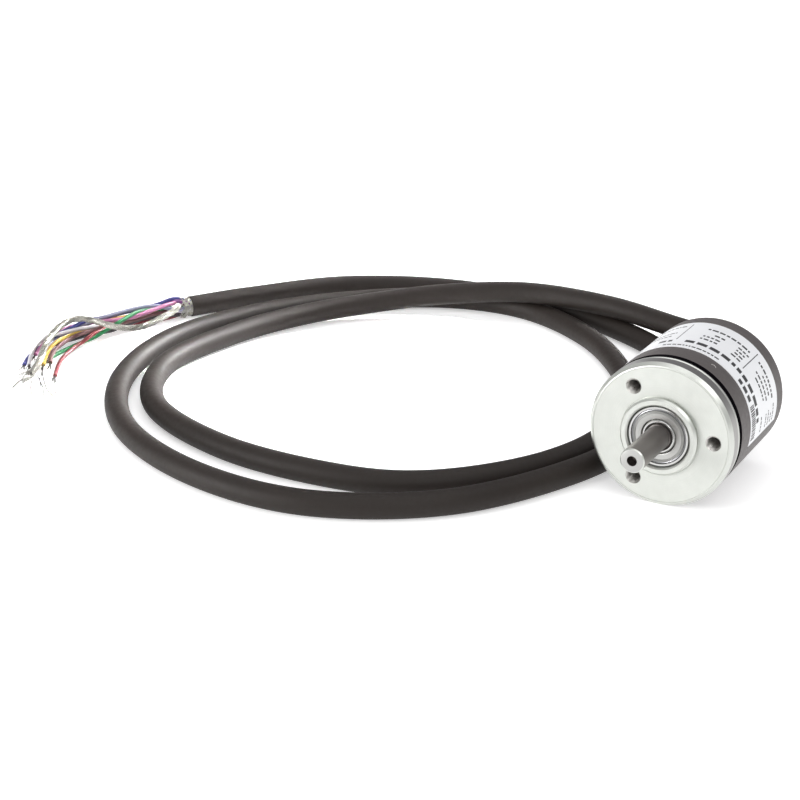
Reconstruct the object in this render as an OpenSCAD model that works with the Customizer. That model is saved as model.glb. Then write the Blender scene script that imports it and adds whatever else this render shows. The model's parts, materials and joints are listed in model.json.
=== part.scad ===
// Miniature incremental shaft encoder with a screened lead, lying on its side.
// +Y runs from the mounting face to the rear, +Z is up, and the origin is
// where the shaft axis meets the mounting face. The shaft points to -Y.

/* [Flange] */
// Diameter of the mounting flange
flange_d = 30; // [29:0.5:32]
// Thickness of the flange rim
rim_t = 3.9; // [3.4:0.1:4.4]
// Chamfer round the front of the rim
rim_chamfer = 0.75; // [0.3:0.05:1]
// Diameter of the centring collar
collar_d = 16; // [15:0.5:18]
// Height of the centring collar above the mounting face
collar_h = 1.3; // [1.2:0.1:1.6]
// Pitch circle of the three tapped holes
hole_pcd = 22; // [21:0.5:23]
// Diameter of the tapped holes
hole_d = 3; // [2.5:0.5:3]
// Depth of the tapped holes
hole_depth = 6; // [4:0.5:6.5]
// Turn of the first tapped hole from +X towards +Z
hole_turn = 2.5; // [-20:0.5:20]

/* [Shaft and bearings] */
// Diameter of the shaft
shaft_d = 5; // [4.8:0.1:5.2]
// Length of shaft in front of the mounting face
shaft_front = 14.5; // [10:0.5:20]
// Diameter of the centre hole in the shaft end
centre_hole_d = 2.1; // [1:0.1:2.5]
// Outer diameter of both ball bearings
bearing_od = 13; // [12.8:0.1:13.2]
// Width of both ball bearings
bearing_w = 4; // [3.8:0.1:4]
// Diameter of the circle through the ball centres
pitch_d = 9.1; // [9:0.05:9.2]
// Diameter of one ball
ball_d = 2.5; // [2.4:0.05:2.5]
// Number of balls in one bearing
ball_count = 7; // [5:1:8]

/* [Housing] */
// Diameter of the housing tube
housing_d = 30; // [29.6:0.1:30]
// Distance from the mounting face to the front edge of the housing
housing_front = 5.3; // [5.2:0.1:5.4]
// Distance from the mounting face to the rear wall's outside
housing_rear = 31.6; // [31:0.2:34]
// Wall thickness of the housing
housing_wall = 1.5; // [1.4:0.1:1.6]
// Distance from the mounting face to the front edge of the label
label_front = 10.4; // [9:0.1:12]
// Width of the label along the housing
label_w = 16.4; // [12:0.1:17]
// Part of a turn that the label covers, in degrees
label_wrap = 250; // [200:10:300]

/* [Code disc] */
// Diameter of the code disc
disc_d = 18; // [17:0.5:18.5]
// Thickness of the code disc
disc_t = 0.5; // [0.4:0.1:0.6]
// Distance from the axis to the middle of the code track
track_r = 7.9; // [7.5:0.1:8]

/* [Cable] */
// Diameter of the cable jacket
cable_d = 5.3; // [5:0.1:5.4]
// Diameter of the bundle of cores at the stripped end
bundle_d = 3.4; // [3:0.1:3.6]
// Diameter of the twisted screen at the stripped end
pigtail_d = 2.2; // [1.8:0.1:2.4]
// Number of sides of the swept tubes
tube_sides = 12; // [8:1:12]

/* [Hidden] */

// Collar, bosses behind the rim, and the bores through them
collar_chamfer = 0.4;
spigot_d = 26.6;
spigot_rear = 8;
hub_outer_d = 15.4;
hub_rear = 15.2;
mid_bore_d = 11.8;
front_seat_rear = 3.2;
rear_seat_front = 10.4;

// Bearings
front_bearing_y = front_seat_rear - bearing_w;
rear_bearing_y = 10.8;
ring_clear = 0.02;
groove_d = ball_d + 2 * ring_clear;
inner_ring_od = 7;
outer_ring_id = 11.2;
ring_chamfer = 0.3;
shield_t = 0.2;
shield_inset = 0.1;
shield_gap = 0.1;
cage_id = 8.2;
cage_od = 10;
cage_w = 2.9;

// Shaft features
shaft_rear = 20.2;
shaft_chamfer = 0.25;
relief = 0.2;
relief_front = collar_h + 0.1;
centre_hole_depth = 3;
ring_groove_y = 14.85;
ring_groove_w = 0.5;
ring_groove_d = 4.4;
retaining_ring_d = 7.8;
retaining_ring_gap = 3.2;

// Disc hub
hub_d = 8.4;
hub_y = 15.8;
hub_flange_d = 12;
disc_y = 19;
hub_flange_t = 1;
clamp_ring_d = 8;
set_screw_d = 2;
set_screw_y = 16.9;

// Scanning parts, on a line at this angle from +X towards +Z
scan_angle = 30;
led_y = 15.9;
led_d = 2;
mask_gap = 0.4;

// Boards, and the pillars that hold them
board_d = 24.8;
main_board_y = 21.2;
main_board_t = 1.2;
rear_board_y = 25.4;
rear_board_t = 1;
pillar_r = 11.2;
pillar_d = 2.6;
pillar_turn = hole_turn + 60;
stud_d = 1.6;
stud_hole_d = 1.8;
screw_head_d = 3;
screw_head_h = 1.1;

// Cable entry at the rear wall
gland_neck_d = 8;
gland_rear = 43;
ferrule_y = 27.7;
ferrule_t = 1.7;
ferrule_d = 7;

// Label on the housing, which starts at label_end and runs up and over
label_d = housing_d + 0.2;
label_end = -12.5;
label_gap = 360 - label_wrap;

// Heights of a lead that lies on the ground, and of one that lies over it
lay = -flange_d / 2 + cable_d / 2;
over = lay + cable_d;

// Centreline of the lead, from the gland to the end of the jacket
cable_route = [
    [0, gland_rear, 0], [-1, 54, -1.5], [-10, 71, -5], [-27, 82, over], [-47, 89, over],
    [-69, 89.5, over], [-88, 84, -8.6], [-105, 74, -10.7], [-119, 58.5, -12], [-127, 38, lay],
    [-128.5, 13, lay], [-115, -9.5, lay], [-88, -22, lay], [-60, -23.5, lay], [-42, -17.5, lay],
    [-27, -0.5, lay], [-20.5, 20, lay], [-23, 43, lay], [-34, 63, lay], [-50.5, 80.5, lay],
    [-72, 91.5, lay], [-94, 89.5, lay], [-114, 75.5, lay], [-130, 55, lay], [-138, 29, lay],
    [-132, 1, lay], [-114, -22.5, lay], [-87, -36, lay], [-59, -37.5, lay], [-34, -23.5, lay],
    [-18.5, 2.5, lay], [-13.5, 28, lay], [-14.5, 51, lay], [-24, 73, lay], [-45, 88.5, lay],
    [-70, 97, lay], [-97, 97, lay], [-122, 86, lay], [-139, 66, lay], [-148.5, 51.5, lay]
];

// Bundle of cores beyond the jacket
bundle_route = [
    [-149.6, 49.8, lay], [-154, 43, -12.6], [-159, 34, -13], [-163, 24, -13.2],
    [-163, 13, -13.2], [-160, 4, -13.2], [-156, -3, -13.2]
];

// Screen, twisted into a tail that crosses over the cores
pigtail_route = [
    [-148.8, 46, -13.4], [-147.5, 39, -13.7], [-149.5, 31, -13], [-155, 25.5, -10.8], [-162, 24, -9.8],
    [-165, 18, -9.8], [-162, 9, -9.8], [-157, 0, -10], [-152.5, -8, -12]
];

// ---- helpers ----

// Stands children on the shaft axis: their +Z becomes +Y, from distance y
module on_axis(y = 0) translate([0, y, 0]) rotate([-90, 0, 0]) children();

// Turns children inside on_axis() by an angle from +X towards +Z
module at_angle(a) rotate([0, 0, -a]) children();

// Three copies of children, a third of a turn apart
module three(turn) for (i = [0:2]) at_angle(turn + 120 * i) children();

module ring(outer_d, inner_d, height) {
    difference() {
        cylinder(d = outer_d, h = height, $fn = 96);
        translate([0, 0, -1]) cylinder(d = inner_d, h = height + 2, $fn = 96);
    }
}

// Smooth curve through route points, with each span cut into steps
function point_at(p, i) = i < 0 ? 2 * p[0] - p[1]
    : i >= len(p) ? 2 * p[len(p) - 1] - p[len(p) - 2]
    : p[i];
function spline(a, b, c, d, t) = 0.5 * (2 * b + (c - a) * t
    + (2 * a - 5 * b + 4 * c - d) * t * t + (3 * b - a - 3 * c + d) * t * t * t);
function smooth(p, steps) = [
    for (i = [0:len(p) - 2])
        for (j = [0:steps - 1])
            spline(point_at(p, i - 1), p[i], p[i + 1], point_at(p, i + 2), j / steps),
    p[len(p) - 1]
];
function unit(v) = v / norm(v);
function heading(p, i) = unit(p[min(i + 1, len(p) - 1)] - p[max(i - 1, 0)]);
function ring_points(centre, dir, r, sides) =
    let (side = unit(cross([0, 0, 1], dir)), up = cross(dir, side))
    [for (k = [0:sides - 1]) centre + r * (cos(360 * k / sides) * side + sin(360 * k / sides) * up)];

// Tube of the given diameter along a list of points
module swept_tube(path, d, sides) {
    rings = len(path);
    points = [for (i = [0:rings - 1]) each ring_points(path[i], heading(path, i), d / 2, sides)];
    walls = [
        for (i = [0:rings - 2])
            for (k = [0:sides - 1])
                let (a = i * sides + k, b = i * sides + (k + 1) % sides)
                each [[a, a + sides, b + sides], [a, b + sides, b]]
    ];
    start = [for (k = [0:sides - 1]) k];
    finish = [for (k = [sides - 1:-1:0]) (rings - 1) * sides + k];
    polyhedron(points = points, faces = concat(walls, [start], [finish]), convexity = 10);
}

// ---- casing ----

module flange() {
    color("gainsboro") on_axis() difference() {
        rotate_extrude($fn = 96) polygon([
            [0, -collar_h], [collar_d / 2 - collar_chamfer, -collar_h],
            [collar_d / 2, collar_chamfer - collar_h], [collar_d / 2, 0],
            [flange_d / 2 - rim_chamfer, 0], [flange_d / 2, rim_chamfer],
            [flange_d / 2, rim_t], [spigot_d / 2, rim_t], [spigot_d / 2, spigot_rear],
            [hub_outer_d / 2, spigot_rear], [hub_outer_d / 2, hub_rear], [0, hub_rear]
        ]);
        translate([0, 0, -collar_h - 1]) cylinder(d = bearing_od, h = collar_h + 1 + front_seat_rear, $fn = 96);
        cylinder(d = mid_bore_d, h = hub_rear, $fn = 96);
        translate([0, 0, rear_seat_front]) cylinder(d = bearing_od, h = hub_rear, $fn = 96);
        three(hole_turn) translate([hole_pcd / 2, 0, -1]) cylinder(d = hole_d, h = hole_depth + 1, $fn = 48);
    }
}

module housing() {
    color("dimgray") on_axis() difference() {
        rotate_extrude($fn = 96) polygon([
            [0, housing_front], [housing_d / 2, housing_front], [housing_d / 2, housing_rear - 0.8],
            [housing_d / 2 - 0.8, housing_rear], [0, housing_rear]
        ]);
        translate([0, 0, housing_front - 1])
            cylinder(d = housing_d - 2 * housing_wall, h = housing_rear - housing_front - housing_wall + 1, $fn = 96);
        translate([0, 0, housing_front]) cylinder(d = gland_neck_d, h = housing_rear, $fn = 64);
    }
}

// Sealing ring in the gap between the flange rim and the housing
module housing_seal() {
    seal_d = housing_front - rim_t;
    color("black") on_axis(rim_t + seal_d / 2) rotate_extrude($fn = 96)
        translate([(spigot_d + seal_d) / 2, 0]) circle(d = seal_d, $fn = 32);
}

// Label wrapped round the housing, cut away where its ends don't meet
module label() {
    color("white") on_axis(label_front) difference() {
        ring(label_d, housing_d, label_w);
        at_angle(label_end - label_gap / 2) translate([0, 0, -1]) linear_extrude(height = label_w + 2)
            polygon([
                [0, 0], 2 * label_d * [cos(label_gap / 2), -sin(label_gap / 2)],
                [2 * label_d, 0], 2 * label_d * [cos(label_gap / 2), sin(label_gap / 2)]
            ]);
    }
}

// ---- bearings ----

module outer_ring(y) {
    color("silver") on_axis(y) rotate_extrude($fn = 96) difference() {
        polygon([
            [outer_ring_id / 2, 0], [bearing_od / 2 - ring_chamfer, 0], [bearing_od / 2, ring_chamfer],
            [bearing_od / 2, bearing_w - ring_chamfer], [bearing_od / 2 - ring_chamfer, bearing_w],
            [outer_ring_id / 2, bearing_w]
        ]);
        translate([pitch_d / 2, bearing_w / 2]) circle(d = groove_d, $fn = 48);
    }
}

module inner_ring(y) {
    color("silver") on_axis(y) rotate_extrude($fn = 96) difference() {
        polygon([
            [shaft_d / 2, 0], [inner_ring_od / 2 - shield_t, 0], [inner_ring_od / 2, shield_t],
            [inner_ring_od / 2, bearing_w - shield_t], [inner_ring_od / 2 - shield_t, bearing_w],
            [shaft_d / 2, bearing_w]
        ]);
        translate([pitch_d / 2, bearing_w / 2]) circle(d = groove_d, $fn = 48);
    }
}

module balls(y) {
    color("lightsteelblue") on_axis(y + bearing_w / 2)
        for (i = [0:ball_count - 1])
            at_angle(360 / ball_count * i) translate([pitch_d / 2, 0, 0]) sphere(d = ball_d, $fn = 48);
}

// Ribbon that keeps the balls apart
module cage(y) {
    color("peru") on_axis(y + bearing_w / 2) difference() {
        translate([0, 0, -cage_w / 2]) ring(cage_od, cage_id, cage_w);
        for (i = [0:ball_count - 1])
            at_angle(360 / ball_count * i) translate([pitch_d / 2, 0, 0]) sphere(d = groove_d, $fn = 48);
    }
}

// Pressed covers on both faces of a bearing
module shields(y) {
    color("lightgray") for (z = [shield_inset, bearing_w - shield_inset - shield_t])
        on_axis(y + z) ring(outer_ring_id, inner_ring_od + 2 * shield_gap, shield_t);
}

module front_outer_ring() outer_ring(front_bearing_y);
module front_inner_ring() inner_ring(front_bearing_y);
module front_balls() balls(front_bearing_y);
module front_cage() cage(front_bearing_y);
module front_shields() shields(front_bearing_y);
module rear_outer_ring() outer_ring(rear_bearing_y);
module rear_inner_ring() inner_ring(rear_bearing_y);
module rear_balls() balls(rear_bearing_y);
module rear_cage() cage(rear_bearing_y);
module rear_shields() shields(rear_bearing_y);

// ---- shaft ----

module shaft() {
    shaft_r = shaft_d / 2;
    color("gray") on_axis() difference() {
        rotate_extrude($fn = 96) polygon([
            [0, -shaft_front], [shaft_r - shaft_chamfer, -shaft_front], [shaft_r, shaft_chamfer - shaft_front],
            [shaft_r, -relief_front], [shaft_r - relief, -relief_front], [shaft_r - relief, front_bearing_y],
            [shaft_r, front_bearing_y], [shaft_r, ring_groove_y], [ring_groove_d / 2, ring_groove_y],
            [ring_groove_d / 2, ring_groove_y + ring_groove_w], [shaft_r, ring_groove_y + ring_groove_w],
            [shaft_r, shaft_rear], [0, shaft_rear]
        ]);
        translate([0, 0, -shaft_front - 1]) cylinder(d = centre_hole_d, h = centre_hole_depth + 1, $fn = 48);
    }
}

module bearing_spacer() {
    spacer_y = front_bearing_y + bearing_w;
    color("lightgray") on_axis(spacer_y) ring(inner_ring_od - 0.4, shaft_d, rear_bearing_y - spacer_y);
}

// Spring washer that preloads the rear outer ring
module preload_washer() {
    color("silver") on_axis(rear_seat_front)
        ring(bearing_od - 0.2, mid_bore_d + 0.1, rear_bearing_y - rear_seat_front);
}

module retaining_ring() {
    color("darkgray") on_axis(ring_groove_y) difference() {
        ring(retaining_ring_d, ring_groove_d, ring_groove_w);
        translate([0, -retaining_ring_gap / 2, -1]) cube([retaining_ring_d, retaining_ring_gap, 3]);
    }
}

// ---- code disc ----

module disc_hub() {
    color("darkgray") on_axis(hub_y) difference() {
        union() {
            cylinder(d = hub_d, h = disc_y - hub_y, $fn = 64);
            translate([0, 0, disc_y - hub_y - hub_flange_t]) cylinder(d = hub_flange_d, h = hub_flange_t, $fn = 64);
        }
        translate([0, 0, -1]) cylinder(d = shaft_d, h = 10, $fn = 96);
        translate([0, 0, set_screw_y - hub_y]) rotate([0, 90, 0]) cylinder(d = set_screw_d, h = hub_d, $fn = 32);
    }
}

module hub_set_screw() {
    color("black") on_axis(set_screw_y) rotate([0, 90, 0]) difference() {
        translate([0, 0, shaft_d / 2 + 0.05]) cylinder(d = set_screw_d, h = 1.4, $fn = 32);
        translate([0, 0, hub_d / 2 - 0.8]) cylinder(d = 1, h = 2, $fn = 6);
    }
}

module code_disc() {
    color("lightcyan") on_axis(disc_y) ring(disc_d, shaft_d + 0.1, disc_t);
}

module disc_clamp_ring() {
    color("silver") on_axis(disc_y + disc_t) ring(clamp_ring_d, shaft_d, 0.5);
}

// ---- scanning head ----

module led_holder() {
    foot_r = hub_outer_d / 2 + 0.2;
    color("black") on_axis() at_angle(scan_angle) difference() {
        union() {
            translate([foot_r, -2, spigot_rear]) cube([2.3, 4, led_y + 1 - spigot_rear]);
            translate([6.6, -2, led_y - 0.5]) cube([foot_r + 2.3 - 6.6, 4, 1.5]);
        }
        translate([track_r, 0, led_y]) cylinder(d = led_d, h = 3, $fn = 48);
    }
}

module led() {
    color("mistyrose") on_axis(led_y) at_angle(scan_angle) translate([track_r, 0, 0])
        cylinder(d = led_d, h = 1.6, $fn = 48);
}

// Lens that spreads the light evenly over the track
module led_lens() {
    color("azure") on_axis(led_y + 1.6) at_angle(scan_angle) translate([track_r, 0, 0]) intersection() {
        translate([0, 0, -0.9]) sphere(r = 1.5, $fn = 48);
        cylinder(d = 3, h = 1, $fn = 48);
    }
}

module scanning_mask() {
    color("lightcyan") on_axis(disc_y + disc_t + mask_gap) at_angle(scan_angle)
        translate([track_r - 1.5, -2, 0]) cube([3, 4, 0.4]);
}

module sensor_chip() {
    chip_y = disc_y + disc_t + mask_gap + 0.4;
    color("black") on_axis(chip_y) at_angle(scan_angle)
        translate([track_r - 2, -2.5, 0]) cube([4, 5, main_board_y - chip_y]);
}

// ---- boards ----

module board(y, t) {
    color("seagreen") on_axis(y) difference() {
        cylinder(d = board_d, h = t, $fn = 96);
        three(pillar_turn) translate([pillar_r, 0, -1]) cylinder(d = stud_hole_d, h = t + 2, $fn = 32);
    }
}

module main_board() board(main_board_y, main_board_t);
module connection_board() board(rear_board_y, rear_board_t);

// Pillars on the flange, with studs that reach through the main board
module board_pillars() {
    color("silver") on_axis(spigot_rear) three(pillar_turn) translate([pillar_r, 0, 0]) {
        cylinder(d = pillar_d, h = main_board_y - spigot_rear, $fn = 32);
        cylinder(d = stud_d, h = main_board_y + main_board_t + 1 - spigot_rear, $fn = 32);
    }
}

// Hexagonal spacers between the boards, drilled from both ends
module standoffs() {
    base_y = main_board_y + main_board_t;
    height = rear_board_y - base_y;
    color("goldenrod") on_axis(base_y) three(pillar_turn) translate([pillar_r, 0, 0]) difference() {
        cylinder(d = pillar_d, h = height, $fn = 6);
        translate([0, 0, -1]) cylinder(d = stud_d, h = height + 2, $fn = 32);
    }
}

module board_screws() {
    color("silver") on_axis(rear_board_y - 1.2) three(pillar_turn) translate([pillar_r, 0, 0]) difference() {
        union() {
            cylinder(d = stud_d, h = rear_board_t + 1.2, $fn = 32);
            translate([0, 0, rear_board_t + 1.2]) cylinder(d = screw_head_d, h = screw_head_h, $fn = 48);
        }
        translate([-0.2, -2, rear_board_t + 1.2 + screw_head_h - 0.5]) cube([0.4, 4, 1]);
    }
}

// Plug connector that joins the two boards
module board_link() {
    base_y = main_board_y + main_board_t;
    color("black") on_axis(base_y) translate([-4, -9, 0]) cube([8, 2.4, rear_board_y - base_y]);
}

module capacitors() {
    color("tan") on_axis(main_board_y + main_board_t)
        for (x = [-4.5, 4.5]) translate([x, 4, 0]) cylinder(d = 3, h = 2.4, $fn = 48);
}

// Row of terminals for the cores of the lead
module wire_connector() {
    color("ivory") on_axis(rear_board_y + rear_board_t) translate([-6, 4.5, 0]) difference() {
        cube([10, 4, 2.4]);
        for (i = [0:7]) translate([0.9 + 1.1 * i, 1.2, 1]) cube([0.6, 1.6, 2]);
    }
}

// ---- lead ----

// Ring crimped on the jacket so that the lead can't be pulled out
module cable_ferrule() {
    color("silver") on_axis(ferrule_y) ring(ferrule_d, cable_d, ferrule_t);
}

// Bush in the rear wall, tapered behind it to spare the lead a sharp bend
module cable_gland() {
    inner_y = ferrule_y + ferrule_t;
    wall_in = housing_rear - housing_wall;
    bore_r = cable_d / 2;
    color("black") on_axis() rotate_extrude($fn = 64) polygon([
        [bore_r, inner_y], [gland_neck_d / 2 + 1, inner_y], [gland_neck_d / 2 + 1, wall_in],
        [gland_neck_d / 2, wall_in], [gland_neck_d / 2, housing_rear],
        [gland_neck_d / 2 + 1.2, housing_rear], [gland_neck_d / 2 + 1.2, housing_rear + 2],
        [bore_r + 1.5, housing_rear + 2.4], [bore_r + 0.7, gland_rear], [bore_r, gland_rear]
    ]);
}

// Straight start of the lead, inside the ferrule and the gland
module cable_stub() {
    color("dimgray") on_axis(ferrule_y) cylinder(d = cable_d, h = gland_rear - ferrule_y, $fn = 64);
}

module cable_jacket() {
    color("dimgray") swept_tube(smooth(cable_route, 2), cable_d, tube_sides);
}

// Braid folded back where the jacket ends
module screen_collar() {
    last = len(cable_route) - 1;
    dir = heading(smooth(cable_route, 2), 2 * last);
    start = cable_route[last];
    color("silver") swept_tube([start, start + 2 * dir], cable_d - 0.6, tube_sides);
}

module screen_pigtail() {
    color("silver") swept_tube(smooth(pigtail_route, 1), pigtail_d, 8);
}

module core_bundle() {
    color("mediumpurple") swept_tube(smooth(bundle_route, 1), bundle_d, 8);
}

flange();
housing();
housing_seal();
label();
shaft();
bearing_spacer();
preload_washer();
retaining_ring();
front_outer_ring();
front_inner_ring();
front_balls();
front_cage();
front_shields();
rear_outer_ring();
rear_inner_ring();
rear_balls();
rear_cage();
rear_shields();
disc_hub();
hub_set_screw();
code_disc();
disc_clamp_ring();
led_holder();
led();
led_lens();
scanning_mask();
sensor_chip();
board_pillars();
main_board();
board_link();
capacitors();
standoffs();
connection_board();
board_screws();
wire_connector();
cable_ferrule();
cable_gland();
cable_stub();
cable_jacket();
screen_collar();
screen_pigtail();
core_bundle();
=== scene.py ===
"""Looks of a miniature shaft encoder with a screened lead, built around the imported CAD.

Row frame, in metres: the origin is where the shaft axis meets the mounting face, +Y runs
to the rear, +Z is up. Shapes are written in millimetres and scaled by MM.
"""
import json
import math
import random

import bmesh
import bpy
import numpy as np
from mathutils import Matrix, Vector


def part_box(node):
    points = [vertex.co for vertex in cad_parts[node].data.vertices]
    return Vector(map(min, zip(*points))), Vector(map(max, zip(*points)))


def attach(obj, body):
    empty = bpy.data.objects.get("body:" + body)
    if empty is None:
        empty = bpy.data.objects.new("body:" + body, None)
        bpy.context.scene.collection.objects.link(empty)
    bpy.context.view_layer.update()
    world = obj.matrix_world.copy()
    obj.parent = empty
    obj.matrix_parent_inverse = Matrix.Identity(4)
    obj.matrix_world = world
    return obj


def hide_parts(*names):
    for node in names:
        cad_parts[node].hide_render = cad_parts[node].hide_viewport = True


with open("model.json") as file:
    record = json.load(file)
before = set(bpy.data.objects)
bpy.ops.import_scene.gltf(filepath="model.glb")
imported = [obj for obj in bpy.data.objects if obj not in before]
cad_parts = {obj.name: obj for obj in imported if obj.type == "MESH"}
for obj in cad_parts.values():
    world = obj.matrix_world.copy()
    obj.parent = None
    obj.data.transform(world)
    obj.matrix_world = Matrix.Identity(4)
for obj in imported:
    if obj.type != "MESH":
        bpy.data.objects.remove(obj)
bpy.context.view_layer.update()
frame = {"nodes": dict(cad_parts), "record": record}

MM = 0.001
FLOOR = -15.0
FLOOR_HALF = 2500.0
HOUSING_R = 15.0
SHARP = 28
BODY = "casing"
ROTOR = "rotor"


# ---- materials ----

def shade(rgb, k):
    """Colour with its brightness changed, as the four values that a socket takes."""
    return (*[min(1.0, c * k) for c in rgb], 1.0)


class Graph:
    """Short way to build a node tree round one Principled shader."""

    def __init__(self, name):
        self.material = bpy.data.materials.new(name)
        self.material.use_nodes = True
        self.tree = self.material.node_tree
        self.shader = self.tree.nodes["Principled BSDF"]
        self.place = self.tree.nodes.new("ShaderNodeTexCoord").outputs["Object"]

    def node(self, kind, settings=(), **inputs):
        n = self.tree.nodes.new("ShaderNode" + kind)
        for key, value in dict(settings).items():
            setattr(n, key, value)
        for key, value in inputs.items():
            self.feed(n.inputs[int(key[1:]) if key[0] == "_" else key], value)
        return n

    def feed(self, socket, value):
        if isinstance(value, bpy.types.NodeSocket):
            self.tree.links.new(value, socket)
        else:
            socket.default_value = value

    def math(self, operation, a, b=0.0, c=0.0):
        return self.node("Math", {"operation": operation}, _0=a, _1=b, _2=c).outputs[0]

    def mix(self, factor, a, b):
        n = self.node("Mix", {"data_type": "RGBA"}, _0=factor, _6=a, _7=b)
        return n.outputs[2]

    def remap(self, value, low, high, to_low, to_high):
        n = self.node("MapRange", {}, _0=value, _1=low, _2=high, _3=to_low, _4=to_high)
        return n.outputs[0]

    def noise(self, scale, detail=3.0, along=None):
        """3-D noise, or noise that varies only with the value along."""
        if along is None:
            n = self.node("TexNoise", {}, Vector=self.place, Scale=scale, Detail=detail)
        else:
            n = self.node("TexNoise", {"noise_dimensions": "1D"}, W=along, Scale=scale, Detail=detail)
        return n.outputs[0]

    def axes(self):
        return self.node("SeparateXYZ", {}, _0=self.place).outputs

    def radius(self):
        x, _, z = self.axes()
        return self.math("SQRT", self.math("ADD", self.math("MULTIPLY", x, x), self.math("MULTIPLY", z, z)))

    def turn(self):
        x, _, z = self.axes()
        return self.math("ARCTAN2", z, x)

    def bump(self, height, depth, strength=1.0, below=None):
        n = self.node("Bump", {}, Height=height, Distance=depth, Strength=strength)
        if below is not None:
            self.feed(n.inputs["Normal"], below)
        return n.outputs[0]


def finish_of(name, rgb, rough, metal=0.0, spread=0.12, grain=700.0, relief=0.01, lines=None,
              line_scale=9000.0, line_relief=0.004, rough_spread=0.08, ior=1.5, coat=0.0, wash=None):
    """Base finish: colour and roughness that drift, fine relief, and turning lines if asked.

    grain and line_scale are noise cells per metre, relief and line_relief are millimetres.
    Turning lines are rings on a face ("face") or round a wall ("side").
    """
    g = Graph(name)
    drift = g.noise(grain * 0.12, 4.0)
    fine = g.noise(grain, 3.0)
    tone = g.math("ADD", g.math("MULTIPLY", drift, 0.6), g.math("MULTIPLY", fine, 0.4))
    tone = g.remap(tone, 0.3, 0.7, 0.0, 1.0)
    colour = g.mix(tone, shade(rgb, 1 - spread), shade(rgb, 1 + spread))
    if wash:
        patch = g.remap(g.noise(grain * 0.03, 2.0), 0.45, 0.7, 0.0, 0.6)
        colour = g.mix(patch, colour, shade(wash, 1.0))
    normal = g.bump(fine, relief * MM)
    rough_value = g.remap(fine, 0.3, 0.7, rough - rough_spread, rough + rough_spread)
    if lines:
        along = g.radius() if lines == "face" else g.axes()[1]
        groove = g.noise(line_scale, 2.0, along)
        normal = g.bump(groove, line_relief * MM, 1.0, normal)
        colour = g.mix(g.remap(groove, 0.35, 0.65, 0.0, 0.35), colour, shade(rgb, 1 - 1.6 * spread))
    g.feed(g.shader.inputs["Base Color"], colour)
    g.feed(g.shader.inputs["Roughness"], rough_value)
    g.feed(g.shader.inputs["Normal"], normal)
    g.shader.inputs["Metallic"].default_value = metal
    g.shader.inputs["IOR"].default_value = ior
    g.shader.inputs["Coat Weight"].default_value = coat
    return g.material


def board_finish():
    """Solder mask over copper tracks and pads."""
    g = Graph("board_green")
    x, _, z = g.axes()
    flat = g.node("CombineXYZ", {}, _0=x, _1=z, _2=0.0).outputs[0]
    tracks = g.node("TexBrick", {"offset": 0.35, "squash": 0.6}, Vector=flat, Scale=420.0)
    g.feed(tracks.inputs["Mortar Size"], 0.035)
    cells = g.node("TexVoronoi", {"feature": "F1"}, Vector=flat, Scale=620.0).outputs[0]
    pads = g.math("LESS_THAN", cells, 0.16)
    mask = g.mix(tracks.outputs[1], (0.008, 0.085, 0.035, 1), (0.02, 0.16, 0.07, 1))
    g.feed(g.shader.inputs["Base Color"], g.mix(pads, mask, (0.72, 0.66, 0.5, 1)))
    g.feed(g.shader.inputs["Metallic"], g.math("MULTIPLY", pads, 0.9))
    g.feed(g.shader.inputs["Roughness"], g.remap(g.noise(900.0), 0.3, 0.7, 0.25, 0.4))
    g.feed(g.shader.inputs["Normal"], g.bump(tracks.outputs[1], 0.03 * MM))
    return g.material


def disc_finish():
    """Clear glass with a fine graduated track."""
    g = Graph("disc_glass")
    r = g.radius()
    bars = g.math("GREATER_THAN", g.math("SINE", g.math("MULTIPLY", g.turn(), 256.0)), 0.0)
    track = g.math("MULTIPLY", g.math("GREATER_THAN", r, 7.1 * MM), g.math("LESS_THAN", r, 8.6 * MM))
    hub = g.math("LESS_THAN", r, 6.4 * MM)
    dark = g.math("MAXIMUM", g.math("MULTIPLY", bars, track), hub)
    g.feed(g.shader.inputs["Base Color"], g.mix(dark, (0.8, 0.88, 0.9, 1), (0.03, 0.03, 0.035, 1)))
    g.feed(g.shader.inputs["Alpha"], g.remap(dark, 0.0, 1.0, 0.35, 1.0))
    g.feed(g.shader.inputs["Roughness"], g.remap(g.noise(700.0), 0.3, 0.7, 0.03, 0.09))
    g.feed(g.shader.inputs["Normal"], g.bump(g.noise(300.0), 0.001 * MM))
    return g.material


def clear_finish(name, rgb, alpha):
    """Clear resin or glass, seen through by alpha."""
    g = Graph(name)
    cloud = g.noise(900.0, 2.0)
    g.feed(g.shader.inputs["Base Color"], g.mix(cloud, shade(rgb, 0.92), shade(rgb, 1.05)))
    g.feed(g.shader.inputs["Roughness"], g.remap(cloud, 0.3, 0.7, 0.03, 0.1))
    g.feed(g.shader.inputs["Normal"], g.bump(cloud, 0.002 * MM))
    g.shader.inputs["Alpha"].default_value = alpha
    return g.material


ALLOY = (0.585, 0.60, 0.565)
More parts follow.
